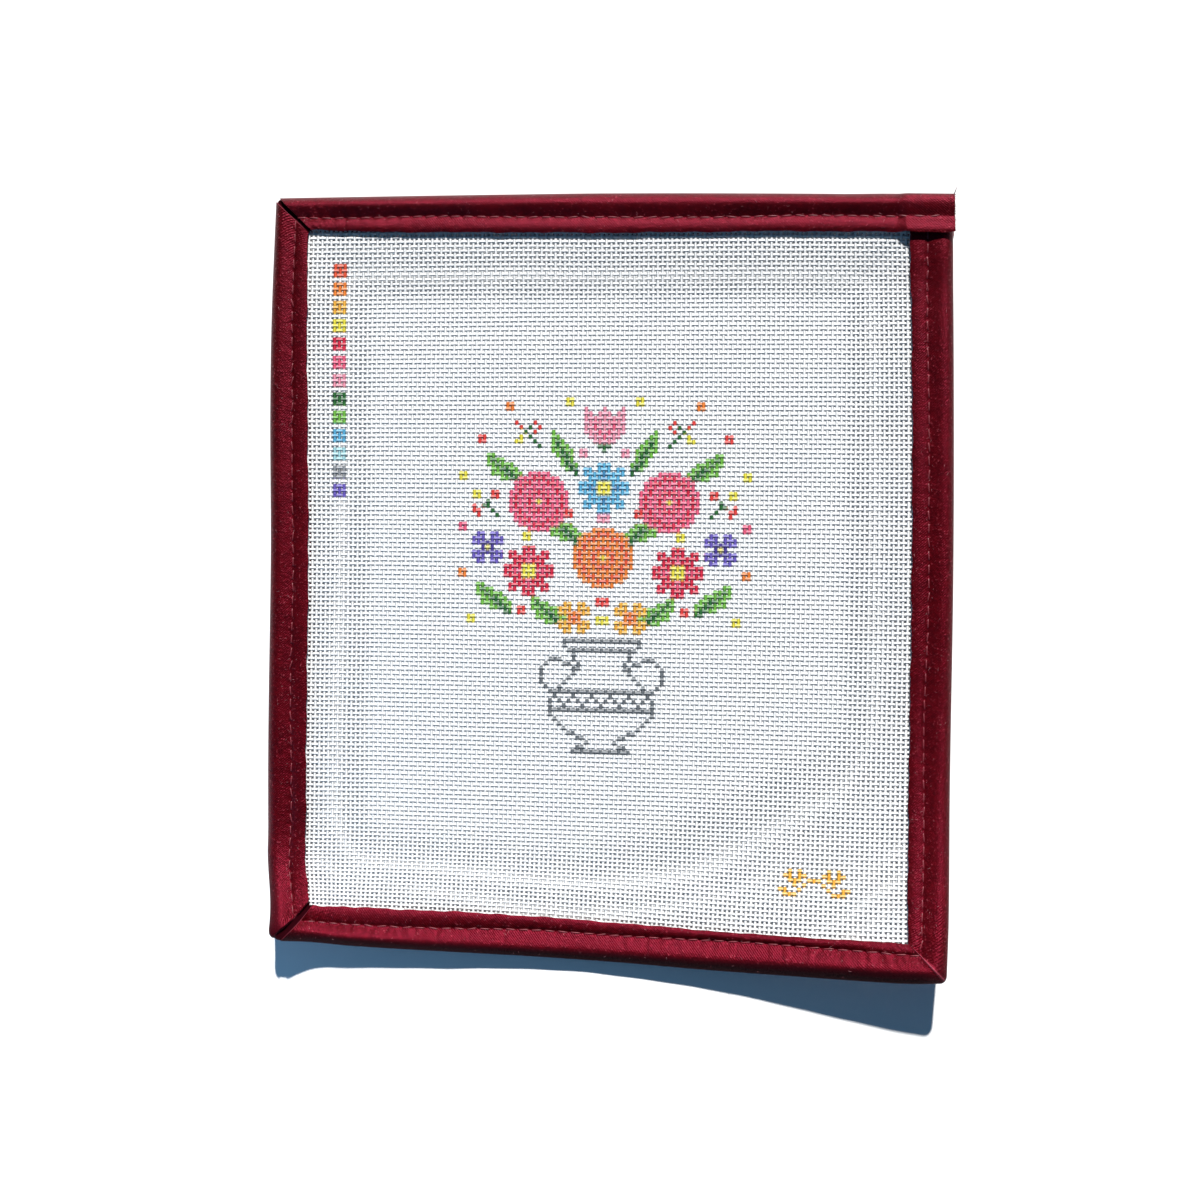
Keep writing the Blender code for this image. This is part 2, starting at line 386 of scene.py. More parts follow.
Paint = namedtuple("Paint", "letter red green blue")
PAINTS = (
    Paint("k", 108, 114, 120),
    Paint("e", 236, 84, 52),
    Paint("o", 246, 130, 48),
    Paint("a", 248, 176, 60),
    Paint("y", 236, 222, 66),
    Paint("c", 216, 30, 66),
    Paint("d", 232, 62, 58),
    Paint("r", 240, 92, 128),
    Paint("p", 242, 150, 172),
    Paint("g", 32, 104, 46),
    Paint("l", 112, 184, 66),
    Paint("b", 92, 176, 218),
    Paint("t", 58, 128, 178),
    Paint("w", 166, 216, 226),
    Paint("s", 150, 154, 160),
    Paint("v", 108, 92, 188),
    Paint("n", 74, 60, 150),
)
COLOUR_KEY = "eoaycrpglbwsv"  # the patches down the left side, from the top
KEY_ACROSS, KEY_UP, KEY_PITCH = -58, 67, 4


def srgb(red, green, blue):
    """A colour in 0 to 255 as the shader's own numbers."""
    share = np.array([red, green, blue]) / 255
    return np.where(share <= 0.04045, share / 12.92, ((share + 0.055) / 1.055) ** 2.4)


def painted_stitches():
    """The letter painted on each crossing, as {(across, up): letter}."""
    stitches = {}
    for k, letter in enumerate(COLOUR_KEY):
        for across in (-1, 0, 1):
            for up in (-1, 0, 1):
                stitches[KEY_ACROSS + across, KEY_UP - k * KEY_PITCH + up] = letter
    for placed in DESIGN:
        own = {"m": placed.main, "s": placed.shade, "h": placed.heart}
        first = 0 if placed.chart is URN else placed.across - len(placed.chart[0]) // 2
        for row, line in enumerate(placed.chart):
            up = placed.up + len(placed.chart) // 2 - row
            for column, letter in enumerate(line):
                for side in (1, -1) if placed.both else (1,):
                    if letter != ".":
                        stitches[side * (first + column), up] = own.get(letter, letter)
    return stitches


def paint_grids():
    """How much paint each crossing has, and its colour, on grids of (warp, weft)."""
    stitches = painted_stitches()
    colours = {paint.letter: srgb(*paint[1:]) for paint in PAINTS}
    amount = np.zeros((2 * WARP_SIDE + 1, 2 * WEFT_SIDE + 1))
    colour = np.full((*amount.shape, 3), 0.8)
    for (across, up), letter in stitches.items():
        # The bare crossings round it get its colour too, so that its edge doesn't fade to another.
        for i, j in ((-1, 0), (1, 0), (0, -1), (0, 1)):
            if (across + i, up + j) not in stitches:
                colour[WARP_SIDE + across + i, WEFT_SIDE + up + j] = colours[letter]
    for (across, up), letter in stitches.items():
        colour[WARP_SIDE + across, WEFT_SIDE + up] = colours[letter]
        amount[WARP_SIDE + across, WEFT_SIDE + up] = 1
    return amount, colour


def quad_corners(grid, turned):
    """A grid's values at the corners of its quads: the grid is (tubes, rings, corners round a ring + 1)."""
    corners = [grid[:, :-1, :-1], grid[:, :-1, 1:], grid[:, 1:, 1:], grid[:, 1:, :-1]]
    if turned:
        corners.reverse()
    return np.stack(corners, axis=-1).reshape(-1, 4)


def lofted(name, rings, turned=False):
    """A new object of closed tubes through rings of (tubes, rings, corners, 3), in metres."""
    index = np.arange(rings[..., 0].size).reshape(rings.shape[:3])
    quads = quad_corners(np.concatenate([index, index[..., :1]], axis=2), turned)
    first, last = index[:, 0], index[:, -1]
    caps = [first, last[:, ::-1]] if turned else [first[:, ::-1], last]
    mesh = bpy.data.meshes.new(name)
    mesh.from_pydata(rings.reshape(-1, 3), [], quads.tolist() + np.concatenate(caps).tolist())
    mesh.shade_smooth()
    piece = bpy.data.objects.new(name, mesh)
    bpy.context.scene.collection.objects.link(piece)
    return piece


MAP_SIDE = 0.985  # the part of a square map that the tubes take, beside the patch for their caps
CAP_PATCH_AT = 0.995
CAP_PATCH_RADIUS = 0.003


def add_map(piece, name, across, along, turned=False, columns=0):
    """A UV map from two grids like those of quad_corners, as they are or folded into columns.

    The columns fill a square. The caps share one small patch.
    """
    layer = piece.data.uv_layers.new(name=name)
    u, v = quad_corners(across, turned), quad_corners(along, turned)
    if columns:
        length = along.max() / columns
        column = np.minimum(v.min(axis=1, keepdims=True) // length, columns - 1)
        u = (column + 0.96 * u / across.max()) / columns
        v = (v - column * length) / (length + 2)
    laid = np.stack([u.ravel(), v.ravel()], axis=-1)
    turn = np.arange(len(piece.data.loops) - len(laid)) * math.tau / (across.shape[2] - 1)
    patch = CAP_PATCH_AT + CAP_PATCH_RADIUS * np.stack([np.cos(turn), np.sin(turn)], axis=-1)
    layer.uv.foreach_set("vector", np.concatenate([laid, patch]).astype(np.float32).ravel())


def add_values(piece, name, kind, values):
    made = piece.data.attributes.new(name, kind, "POINT")
    key = "color" if kind == "FLOAT_COLOR" else "value"
    made.data.foreach_set(key, values.astype(np.float32).ravel())


def waver(along, lengths, seed):
    """An uneven wave of about unit height: a sum of waves of these lengths."""
    phases = np.random.default_rng(seed).uniform(0, math.tau, len(lengths))
    waves = [np.sin(math.tau * along / length + phase) for length, phase in zip(lengths, phases)]
    return sum(waves) / math.sqrt(len(lengths))


def thread_places(side):
    return np.arange(-side, side + 1) * PITCH


def threads(name, places, stops, rise, upright, paint, colour, seed):
    """All the threads that run one way, each a tube with a ring at every crossing, and their paint."""
    draw = np.random.default_rng(seed)
    shape = (len(places), len(stops))
    drift = np.stack([waver(stops, (31, 57, 113), seed + k) for k in range(len(places))])
    across = places[:, None] + PLACE_UNEVEN * (drift + draw.normal(0, 0.5, shape))
    unevenness = draw.normal(0, 1, (len(places), 1)) + draw.normal(0, 0.8, shape)
    width = THREAD_WIDTH * (1 + WIDTH_UNEVEN * unevenness)
    turn = np.arange(THREAD_SIDES) * math.tau / THREAD_SIDES * (-1 if upright else 1)
    side, top = np.cos(turn), np.sin(turn)
    width = width * (1 + PAINT_SWELLS * paint)
    across = across[..., None] + width[..., None] * side / 2
    along = np.broadcast_to(stops[None, :, None], across.shape)
    s, t = (across, along) if upright else (along, across)
    height = rise[..., None] * WEAVE_RISE + top * THREAD_HEIGHT / 2 - sag_at(s, t)
    piece = lofted(name, on_cloth(s, t, height))
    reached = np.clip(0.85 + 0.5 * top, 0, 1)  # the brush hardly reaches the underside
    add_values(piece, "paint", "FLOAT", paint[..., None] * reached)
    # Painted highlight and shade: the paint is lightened on the tops of the cross threads, darkened down
    # the sides of all threads, and kept darker on the tops of the upright threads than on those of the
    # cross ones.
    pale = PAINT_TOP_HIGHLIGHT * np.maximum(top, 0) * (0 if upright else 1)
    painted_side_shade = PAINT_SIDE_SHADE + (1 - PAINT_SIDE_SHADE) * np.maximum(top, 0) * (0.6 if upright else 1)
    shaded = colour[:, :, None] * (painted_side_shade * (1 - pale))[:, None] + pale[:, None]
    rgba = np.concatenate([shaded, np.ones((*shape, THREAD_SIDES, 1))], axis=-1)
    add_values(piece, "paint_colour", "FLOAT_COLOR", rgba)
    round_thread = np.arange(THREAD_SIDES + 1) / THREAD_SIDES
    laid_across = (np.arange(len(places))[:, None, None] + round_thread) / len(places) * MAP_SIDE
    laid_along = np.linspace(0, MAP_SIDE, len(stops))[None, :, None]
    add_map(piece, "OFBake", *np.broadcast_arrays(laid_across, laid_along))
    return piece


def shader_node(tree, kind, inputs=(), **settings):
    """A new shader node, with {input: value or socket} and its settings by name."""
    made = tree.nodes.new("ShaderNode" + kind)
    for name, value in settings.items():
        setattr(made, name, value)
    for key, value in dict(inputs).items():
        if isinstance(value, bpy.types.NodeSocket):
            tree.links.new(value, made.inputs[key])
        else:
            made.inputs[key].default_value = value
    return made


def new_material(name):
    made = bpy.data.materials.new(name)
    made.use_nodes = True
    return made, made.node_tree, made.node_tree.nodes["Principled BSDF"]


def new_group(name, inputs, outputs):
    """An empty shader node group with float or vector inputs and float outputs, by name."""
    group = bpy.data.node_groups.new(name, "ShaderNodeTree")
    for socket, kind in inputs:
        group.interface.new_socket(socket, in_out="INPUT", socket_type=kind)
    for socket in outputs:
        group.interface.new_socket(socket, in_out="OUTPUT", socket_type="NodeSocketFloat")
    return group, group.nodes.new("NodeGroupInput").outputs, group.nodes.new("NodeGroupOutput").inputs


def math_node(tree, operation, *values):
    """A new Math node of this operation. Its output socket."""
    return shader_node(tree, "Math", dict(enumerate(values)), operation=operation).outputs[0]


def mixed_colour(tree, share, first, second):
    """A new Mix node between two colours, each a socket or (red, green, blue). Its output socket."""
    inputs = {"Fac": share}
    for name, colour in (("Color1", first), ("Color2", second)):
        inputs[name] = colour if isinstance(colour, bpy.types.NodeSocket) else (*colour, 1)
    return shader_node(tree, "MixRGB", inputs).outputs[0]


def steep(tree, value, low, high):
    """A new Map Range node from 0 at low to 1 at high, with level ends. Its output socket."""
    inputs = {"Value": value, "From Min": low, "From Max": high}
    return shader_node(tree, "MapRange", inputs, interpolation_type="SMOOTHSTEP").outputs[0]


def ridges(tree, turns):
    """1 on each ridge and 0 in each groove, one of each a turn."""
    angle = math_node(tree, "MULTIPLY", turns, math.tau)
    return math_node(tree, "MULTIPLY_ADD", math_node(tree, "SINE", angle), 0.5, 0.5)


# Twisted thread, used by the canvas and by the sewing thread: Place is (turns round the thread, turns of
# its twist along it), and the height is a ridge for each strand.
twist, given, put_out = new_group(
    "twisted strands", (("Place", "NodeSocketVector"), ("Strands", "NodeSocketFloat")), ("Height",)
)
split = shader_node(twist, "SeparateXYZ", {0: given["Place"]})
turns = math_node(twist, "MULTIPLY_ADD", split.outputs[0], given["Strands"], split.outputs[1])
twist.links.new(ridges(twist, turns), put_out["Height"])


def twisted(tree, laid, across, along, strands):
    """The height of strands twisted together, on a map of so many threads across and turns along."""
    turns = shader_node(tree, "VectorMath", {0: laid, 1: (across, along, 0)}, operation="MULTIPLY")
    made = shader_node(tree, "Group", node_tree=twist)
    tree.links.new(turns.outputs[0], made.inputs["Place"])
    made.inputs["Strands"].default_value = strands
    return made.outputs["Height"]


def add_bump(tree, shader, height, distance, strength):
    bump = shader_node(tree, "Bump", {"Height": height, "Distance": distance, "Strength": strength})
    tree.links.new(bump.outputs[0], shader.inputs["Normal"])


THREAD_TWIST = 1.3  # the length of a turn of the canvas thread's twist


def canvas_cotton(name, thread_count, length):
    """White sized cotton, painted in matt colours where the design is."""
    cotton, tree, shader = new_material(name)
    laid = shader_node(tree, "UVMap", uv_map="OFBake").outputs[0]
    strands = twisted(tree, laid, thread_count, length / THREAD_TWIST, 2)
    where = shader_node(tree, "TexCoord").outputs["Object"]
    fibres = shader_node(tree, "TexNoise", {"Vector": where, "Scale": 2600, "Detail": 2}).outputs[0]
    patches = shader_node(tree, "TexNoise", {"Vector": where, "Scale": 90, "Detail": 3}).outputs[0]
    sized = mixed_colour(tree, patches, (0.82, 0.83, 0.84), (0.89, 0.89, 0.885))
    # The paint's edge is ragged, and it is thicker in some patches than in others.
    paint = shader_node(tree, "Attribute", attribute_name="paint").outputs["Fac"]
    covered = steep(tree, math_node(tree, "MULTIPLY_ADD", fibres, 0.34, paint), 0.52, 0.76)
    colour = shader_node(tree, "Attribute", attribute_name="paint_colour").outputs["Color"]
    thickness = shader_node(tree, "MapRange", {"Value": patches, "To Min": 0.85, "To Max": 1.15})
    thin = shader_node(tree, "HueSaturation", {"Color": colour, "Value": thickness.outputs[0]})
    tree.links.new(mixed_colour(tree, covered, sized, thin.outputs[0]), shader.inputs["Base Color"])
    add_bump(tree, shader, math_node(tree, "MULTIPLY_ADD", fibres, 0.5, strands), 0.00004, 0.5)
    shader.inputs["Roughness"].default_value = 0.72
    shader.inputs["Specular IOR Level"].default_value = 0.3
    # Light comes through the cotton, so its shaded sides glow.
    shader.inputs["Subsurface Weight"].default_value = 0.5
    shader.inputs["Subsurface Radius"].default_value = (1.0, 1.0, 1.0)
    shader.inputs["Subsurface Scale"].default_value = 0.0005
    return cotton


warp_s, weft_t = thread_places(WARP_SIDE), thread_places(WEFT_SIDE)
over = (np.add.outer(np.arange(len(warp_s)), np.arange(len(weft_t))) % 2) * 2 - 1
amount, colour = paint_grids()
warp = threads("canvas_warp", warp_s, weft_t, over, True, amount, colour, 1801)
weft = threads("canvas_weft", weft_t, warp_s, -over.T, False, amount.T, colour.transpose(1, 0, 2), 1802)
warp.data.materials.append(canvas_cotton("canvas cotton, warp", len(warp_s), np.ptp(weft_t)))
weft.data.materials.append(canvas_cotton("canvas cotton, weft", len(weft_t), np.ptp(warp_s)))
for piece in (warp, weft):
    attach(piece, "root")
    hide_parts("canvas")

# --- Binding tape ---------------------------------------------------------------------------------------
# One long strip of burgundy cotton twill tape, folded lengthways over the canvas edge all round. It is
# folded under into a mitre at three corners, and its cut end laps over its beginning at the fourth.

TAPE_THICK = 0.7
ALONG_STEP = 0.8
END_OVERHANG = 0.4  # how far the cut end stands past the side tape's outer fold
LAP_LIP = 0.6  # how far the lap's free edge stands up
CORNER_ZONE = 24.0  # from a corner to where its side's stations are evenly placed
ROUND_STEP = 0.5  # between stations round a corner
SHARP_RADIUS = 1.6  # a corner with less rounding opens its mouth as if it had this much
LAP_PRESSED = 0.75  # how much of the puff is pressed out of the strip's last end where it laps
STITCH_LINE = 7.0  # from the outer fold
SIDE_PUFF = 0.4  # how far the side tapes puff up, as a share of what the others do

# The corners: across and up are signs, side and end the width of the side tape and of the end tape there,
# gap and mouth the width of the open mitre at its inner and outer end, rounding the outer radius, and
# where how far round that the mitre is, in degrees.
Corner = namedtuple("Corner", "across up side end gap mouth rounding where")
TOP_RIGHT = Corner(1, 1, 11.4, 11.3, 0, 0, 0, 45)
BOTTOM_RIGHT = Corner(1, -1, 10.9, 10.4, 0, 0, 2.0, 45)
BOTTOM_LEFT = Corner(-1, -1, 11.8, 11.0, 2.4, 3.4, 4.0, 18)
TOP_LEFT = Corner(-1, 1, 10.9, 9.8, 1.8, 3.0, 1.2, 45)

# The outside of the folded tape across its width, from the free edge on the face, round the outer fold,
# to the free edge on the back: its place along the section, inset from the outer fold and height over the
# canvas's middle, and how much of the height is puff, which is pressed flat under the lap.
Fold = namedtuple("Fold", "along inset height puff")
TAPE_SECTION = (
    Fold(0.0, 11.40, 1.40, 0.15),
    Fold(0.4, 11.00, 1.62, 0.25),
    Fold(1.4, 10.00, 1.84, 0.35),
    Fold(2.6, 8.80, 1.80, 0.28),
    Fold(3.6, 7.80, 1.55, 0.10),
    Fold(4.1, 7.30, 1.27, 0.00),
    Fold(4.4, 7.00, 1.16, 0.00),
    Fold(4.7, 6.70, 1.24, 0.00),
    Fold(5.5, 5.95, 1.54, 0.12),
    Fold(6.6, 4.95, 2.02, 0.38),
    Fold(7.7, 3.95, 2.44, 0.62),
    Fold(8.7, 3.00, 2.64, 0.72),
    Fold(9.6, 2.15, 2.46, 0.62),
    Fold(10.4, 1.40, 1.98, 0.38),
    Fold(11.4, 0.72, 1.30, 0.14),
    Fold(12.2, 0.22, 0.60, 0.00),
    Fold(13.1, 0.00, -0.20, 0.00),
    Fold(13.8, 0.12, -0.95, 0.00),
    Fold(14.6, 0.60, -1.50, 0.00),
    Fold(15.5, 1.50, -1.80, 0.00),
    Fold(20.0, 6.00, -1.80, 0.00),
    Fold(21.0, 7.00, -1.62, 0.00),
    Fold(22.0, 8.00, -1.80, 0.00),
    Fold(25.4, 11.40, -1.80, 0.00),
)
SECTION_AT = np.concatenate([
    np.arange(0.0, 3.4, 0.55),
    np.arange(3.5, 5.6, 0.3),
    np.arange(5.9, 15.8, 0.62),
    np.arange(17.0, 25.5, 1.4),
])
VALLEY_FLOOR = 0.40  # the outside of the tape at the bottom of an open mitre

Station = namedtuple("Station", "outer inner lap puff open")


def between(one, other, share):
    mixed = [a + (b - a) * share for a, b in zip(one, other)]
    return Station(*mixed)


def tape_width(start, end, share):
    """The tape's width along a side: each corner's own, easing to the full width between."""
    corner_width = start + (end - start) * share
    return corner_width + (TAPE_WIDTH - corner_width) * (1 - (2 * share - 1) ** 2)


def side_stations(first, last):
    """The stations along one side, between the zones of its two corners."""
    upright = first.across == last.across
    half = HALF_HEIGHT if upright else HALF_WIDTH
    start = first.up if upright else first.across
    widths = (first.side, last.side) if upright else (first.end, last.end)
    stations = []
    steps = round(2 * (half - CORNER_ZONE) / ALONG_STEP)
    for k in range(steps + 1):
        place = (half - CORNER_ZONE) * (1 - 2 * k / steps)
        width = tape_width(*widths, (1 - place / half) / 2)
        if upright:
            outer = np.array([first.across * HALF_WIDTH, start * place])
            inward = np.array([-first.across, 0])
        else:
            outer = np.array([start * place, first.up * HALF_HEIGHT])
            inward = np.array([0, -first.up])
        stations.append(Station(outer, outer + inward * width, 0.0, SIDE_PUFF if upright else 1.0, 0.0))
    return stations


def mitre(corner, before, after):
    """The stations round a mitred corner, from the side's last station to the next side's first."""
    sharp = np.array([corner.across * HALF_WIDTH, corner.up * HALF_HEIGHT])
    inner = sharp - np.array([corner.across * corner.side, corner.up * corner.end])
    radius = corner.rounding
    halves = []
    slit = math.radians(corner.where)
    for own, other, slit_turn in ((before, after, slit), (after, before, math.pi / 2 - slit)):
        back = (own.outer - sharp) / np.linalg.norm(own.outer - sharp)
        on = (other.outer - sharp) / np.linalg.norm(other.outer - sharp)
        centre = sharp + (back + on) * radius
        lip = inner + back * corner.gap / 2

        def on_round(turn):
            return centre - (on * math.cos(turn) + back * math.sin(turn)) * radius

        entry = Station(sharp + back * radius, lip, 0.0, own.puff, 0.0)
        steps = round((CORNER_ZONE - radius) / ALONG_STEP)
        half = [between(own, entry, k / steps) for k in range(1, steps + 1)]
        turn_end = slit_turn - corner.mouth / 2 / max(radius, SHARP_RADIUS)
        turns = round(max(turn_end, 0.0) * radius / ROUND_STEP)
        for k in range(1, turns + 1):
            turn = turn_end * k / turns
            half.append(entry._replace(outer=on_round(turn)))
        middle_outer = on_round(slit_turn)
        if corner.gap:
            lip_outer = half[-1].outer
            for share, open_ in ((0.16, 0.35), (0.32, 0.9), (0.5, 1.0)):
                outer = lip_outer + (middle_outer - lip_outer) * share
                half.append(Station(outer, lip + (inner - lip) * share, 0.0, own.puff, open_))
        halves.append(half)
    middle = Station(middle_outer, inner, 0.0, (1 + SIDE_PUFF) / 2, 1.0 if corner.gap else 0.0)
    return halves[0] + [middle] + halves[1][::-1]


# Down from the top edge, and how far the strip's beginning has puffed up again, as a share.
PRESSED_END = ((1.7, 0), (4.0, 0), (TAPE_WIDTH / 2, 0), (9.0, 0), (12.0, 0), (14.6, 0.6), (17.0, 1))


def first_end(below):
    """The strip's beginning on the right side, pressed flat where the other end laps over it."""
    stations = []
    for place, puffed in PRESSED_END:
        outer = np.array([HALF_WIDTH, HALF_HEIGHT - place])
        inner = outer - np.array([TOP_RIGHT.side, 0])
        stations.append(Station(outer, inner, 0.0, puffed * SIDE_PUFF, 0.0))
    steps = 9
    return stations + [between(stations[-1], below, k / steps) for k in range(1, steps)]


def last_end(before):
    """The strip's square cut end on the top side, stepped up and lapped over its beginning."""
    step_up = HALF_WIDTH - TOP_RIGHT.side - LAP_RAMP
    start = Station(
        np.array([step_up, HALF_HEIGHT]), np.array([step_up, HALF_HEIGHT - TOP_RIGHT.end]), 0.0, 1.0, 0.0
    )
    steps = 10
    stations = [between(before, start, k / steps) for k in range(1, steps + 1)]
    reach = HALF_WIDTH + END_OVERHANG - step_up
    steps = round(reach / ALONG_STEP)
    for k in range(1, steps + 1):
        place = reach * k / steps
        lap = float(ramp(place / (LAP_RAMP * 0.9)))
        shift = np.array([place, 0])
        stations.append(Station(start.outer + shift, start.inner + shift, lap, 1 - LAP_PRESSED * lap, 0.0))
    return stations


right = side_stations(TOP_RIGHT, BOTTOM_RIGHT)
bottom = side_stations(BOTTOM_RIGHT, BOTTOM_LEFT)
left = side_stations(BOTTOM_LEFT, TOP_LEFT)
top = side_stations(TOP_LEFT, TOP_RIGHT)
strip = first_end(right[0]) + right
mitres = []
for corner, before, after in (
    (BOTTOM_RIGHT, right, bottom),
    (BOTTOM_LEFT, bottom, left),
    (TOP_LEFT, left, top),
):
    turned_corner = mitre(corner, before[-1], after[0])
    mitres.append((len(strip), len(turned_corner)))
    strip += turned_corner + after
strip += last_end(top[-1])

outer = np.array([station.outer for station in strip])
inner = np.array([station.inner for station in strip])
lap = np.array([station.lap for station in strip])
puff = np.array([station.puff for station in strip])
opened = np.array([station.open for station in strip])


def run_of(line):
    return np.concatenate([[0], np.cumsum(np.linalg.norm(np.diff(line, axis=0), axis=1))])


# Along the strip from its beginning: how far the stitched line is from the outer fold, and how far the
# fold droops, which it does where the cloth is curled.
Sewn = namedtuple("Sewn", "along line droop")
SEWN = (
    Sewn(0, 6.8, 0.0),
    Sewn(170, 7.2, 0.0),
    Sewn(218, 7.5, 0.0),
    Sewn(232, 8.2, 1.2),
    Sewn(245, 8.6, 1.6),
    Sewn(280, 8.7, 1.5),
    Sewn(330, 7.5, 1.1),
    Sewn(370, 6.7, 0.9),
    Sewn(410, 6.4, 0.8),
    Sewn(450, 6.8, 0.0),
    Sewn(640, 6.9, 0.0),
    Sewn(780, 6.9, 0.0),
    Sewn(870, 6.3, 0.0),
)
DROOP_REACH = 3.4  # how far in from the outer fold the droop begins
line_inset, droop = through(SEWN, run_of(outer + (inner - outer) * STITCH_LINE / TAPE_WIDTH))
line_along = run_of(outer + (inner - outer) * line_inset[:, None] / TAPE_WIDTH)


def strip_at(values, along):
    """A station value at places along the strip's stitched line."""
    if values.ndim == 1:
        return np.interp(along, line_along, values)
    return np.stack([np.interp(along, line_along, column) for column in values.T], axis=-1)


STITCH_PITCH = 4.0
section_inset, section_height, section_puff = through(TAPE_SECTION, SECTION_AT)
on_face = ramp((12.8 - SECTION_AT) / 0.6)  # 1 from the face's free edge to the outer fold, 0 on the back
side_of_fold = np.clip(section_height / 0.6, -1, 1)  # 1 over the canvas, -1 under it


def fading(distance, reach):
    """1 at no distance, fading over the reach."""
    return np.exp(-((distance / reach) ** 2))


# How uneven the strip is: its two bulges, its stitched line and its free edge wander, each needle hole
# draws it down, and short wrinkles run out from the stitches.
station_along = line_along[:, None]
outer_bulge = 1 + 0.22 * waver(station_along, (17, 29, 53, 131), 21)
inner_bulge = 1 + 0.30 * waver(station_along, (19, 41, 87), 22)
bulge = np.where(section_inset < STITCH_LINE, outer_bulge, inner_bulge)
line_wander = 0.24 * waver(station_along, (61, 97, 151), 23)
edge_wander = 0.14 * waver(station_along, (7, 13, 31), 24)
from_hole = np.abs((station_along / STITCH_PITCH + 0.5) % 1 - 0.5) * STITCH_PITCH
beside_line = section_inset - STITCH_LINE
hole = 0.30 * fading(from_hole, 0.6) * fading(beside_line, 0.7)
scallop = 0.14 * fading(from_hole, 1.1) * fading(beside_line, 2.0)
creased = ramp(0.45 + 0.8 * waver(station_along, (43, 71, 119), 25))
outer_wrinkle = 0.09 * (creased + 0.9 * np.minimum(droop[:, None], 1)) * fading(section_inset - 5.0, 1.7)
inner_wrinkle = 0.05 * fading(section_inset - 9.6, 1.4)
wrinkle = outer_wrinkle * waver(station_along, (2.3, 3.4, 5.3), 26)
wrinkle = wrinkle + inner_wrinkle * waver(station_along, (3.1, 4.3, 8.9), 27)

surface = section_height - section_puff * (1 - puff[:, None] * bulge)
surface = surface + on_face * puff[:, None] * (wrinkle - hole - scallop)
surface = surface - opened[:, None] * on_face * np.maximum(surface - VALLEY_FLOOR, 0)
# The bottom right mitre is folded tight, with a ridge along it.
ridge_at = mitres[0][0] + mitres[0][1] // 2
ridge = np.zeros(len(strip))
ridge[ridge_at - 1 : ridge_at + 2] = 1
surface = surface + 0.30 * on_face * ridge[:, None] * ramp((SECTION_AT - 0.5) / 2)
surface = surface - droop[:, None] * np.clip(1 - section_inset / DROOP_REACH, 0, 1) ** 2
inset = section_inset + on_face * line_wander * fading(beside_line, 1.7)
inset = inset + on_face * edge_wander * fading(section_inset - TAPE_WIDTH, 0.9)
inset = inset + opened[:, None] * 0.5 * fading(SECTION_AT - 12.2, 1.8)  # the fold is drawn in at a slit
free_share = (TAPE_WIDTH - line_inset[:, None]) / (TAPE_WIDTH - STITCH_LINE)
sewn_inset = line_inset[:, None] / STITCH_LINE
inset = np.where(inset < STITCH_LINE, inset * sewn_inset, TAPE_WIDTH + (inset - TAPE_WIDTH) * free_share)
surface = surface + lap[:, None] * LAYER * side_of_fold
surface = surface + lap[:, None] * on_face * LAP_LIP * ramp((section_inset - 8.5) / 2.5)

# The inside of the tape is the outside moved in by its thickness, square to its section.
run, rise = np.gradient(inset, axis=1), np.gradient(surface, axis=1)
step = np.hypot(run, rise)
inside_inset = inset - TAPE_THICK * rise / step
inside_surface = surface + TAPE_THICK * run / step
ring_inset = np.concatenate([inset, inside_inset[:, ::-1]], axis=1)
ring_height = np.concatenate([surface, inside_surface[:, ::-1]], axis=1)
places = outer[:, None] + (inner - outer)[:, None] * ring_inset[..., None] / TAPE_WIDTH
rings = on_cloth(places[..., 0], places[..., 1], ring_height)
tape = lofted("binding_tape_cloth", rings[None], turned=True)
tape.select_set(True)
bpy.context.view_layer.objects.active = tape
bpy.ops.object.shade_smooth_by_angle(angle=math.radians(50))

# Where the cloth is rubbed pale, on the edges of the mitres, and painted shade, where its colour is
# darkened towards near-black on the hanging side of the fold and in the open mitres.
lip = np.clip(1 - np.abs(opened - 0.35) / 0.3, 0, 1) * (opened > 0)
rubbed = (0.8 * ridge + 0.5 * lip)[:, None] * (on_face * ramp((SECTION_AT - 0.5) / 2))
painted_fold_shade = np.clip(droop[:, None], 0, 1) * ramp((DROOP_REACH - section_inset) / 1.6) * (SECTION_AT > 8)
painted_fold_shade = np.maximum(painted_fold_shade, on_face * ramp((opened[:, None] - 0.3) / 0.3))
for name, values in (("rubbed", rubbed), ("shaded", painted_fold_shade)):
    add_values(tape, name, "FLOAT", np.concatenate([values, values[:, ::-1]], axis=1))

# Its cloth map is in millimetres, round the section and along the strip. The other one folds the strip
# into four columns, to fill a square.
RING_HALF = 26.0  # the length of the outside of the section on the map, with a little to spare
ring_across = np.concatenate([SECTION_AT, RING_HALF + SECTION_AT, [2 * RING_HALF]])
cloth_across, cloth_along = np.broadcast_arrays(ring_across[None, None], line_along[None, :, None])
add_map(tape, "cloth", cloth_across, cloth_along, turned=True)
add_map(tape, "OFBake", cloth_across, cloth_along, turned=True, columns=4)

# A twill's slanting ribs: Place is in millimetres across and along the tape, and the height is 1 on a rib.
twill, given, put_out = new_group(
    "twill ribs", (("Place", "NodeSocketVector"), ("Ribs in a mm", "NodeSocketFloat")), ("Height",)
)
split = shader_node(twill, "SeparateXYZ", {0: given["Place"]})
slant = math_node(twill, "ADD", split.outputs[0], split.outputs[1])
turns = math_node(twill, "MULTIPLY", slant, given["Ribs in a mm"])
twill.links.new(ridges(twill, turns), put_out["Height"])

DEEP_BURGUNDY = (0.026, 0.0003, 0.0004)
FADED_BURGUNDY = (0.066, 0.0011, 0.0022)
FLUFF = (0.34, 0.06, 0.08)
RUBBED = (0.42, 0.08, 0.12)
PAINTED_SHADE_COLOUR = (0.0015, 0.0001, 0.0001)

